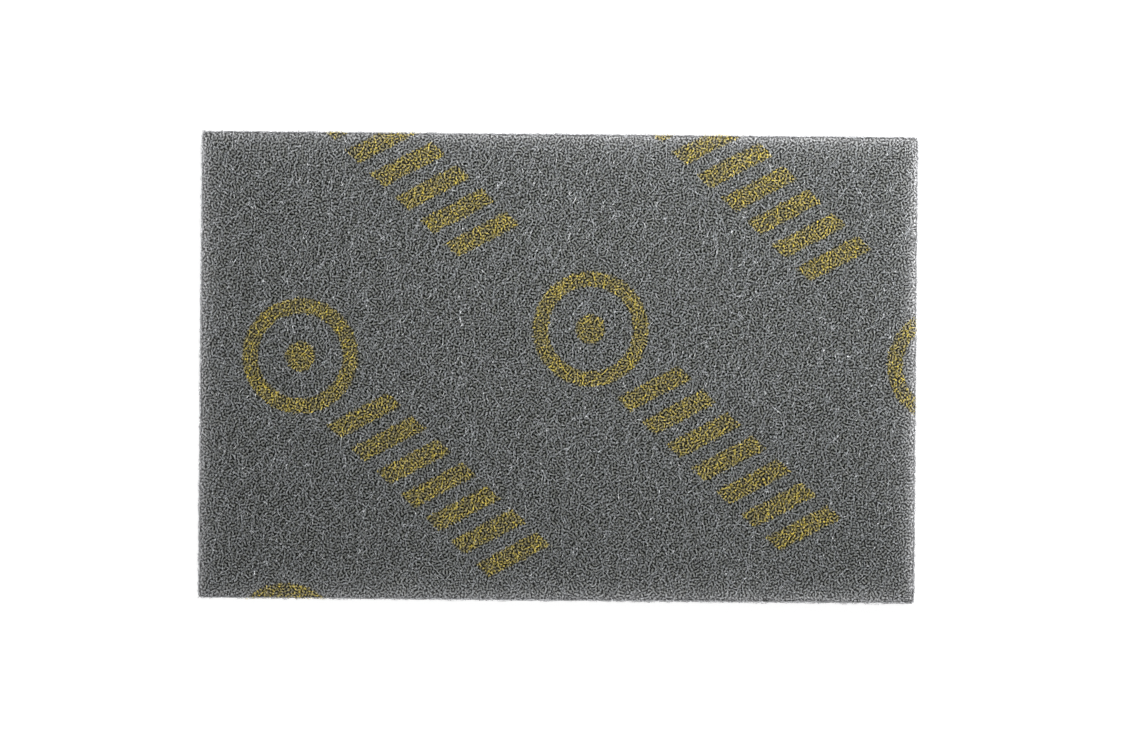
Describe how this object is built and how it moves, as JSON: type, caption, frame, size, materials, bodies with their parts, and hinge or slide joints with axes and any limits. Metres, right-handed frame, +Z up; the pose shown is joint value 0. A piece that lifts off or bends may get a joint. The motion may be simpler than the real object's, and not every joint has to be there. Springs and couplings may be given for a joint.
{
  "type": "abrasive hand pad",
  "caption": "Flat rectangular abrasive hand pad: a thin slab of springy nonwoven fibre web with square die-cut edges, for scouring or sanding by hand.",
  "frame": {"origin": "centre of the face that the pad rests on", "axes": "+X along the pad's length, +Y along its width, +Z up out of the printed working face"},
  "size_m": [0.23, 0.15, 0.008],
  "materials": {
    "web": "grey nonwoven nylon web with resin-bonded grit, matt overall with small glints on the fibres, and a plain yellow print on the upper face"
  },
  "bodies": {
    "root": {"hand_pad": "web"}
  },
  "joints": []
}
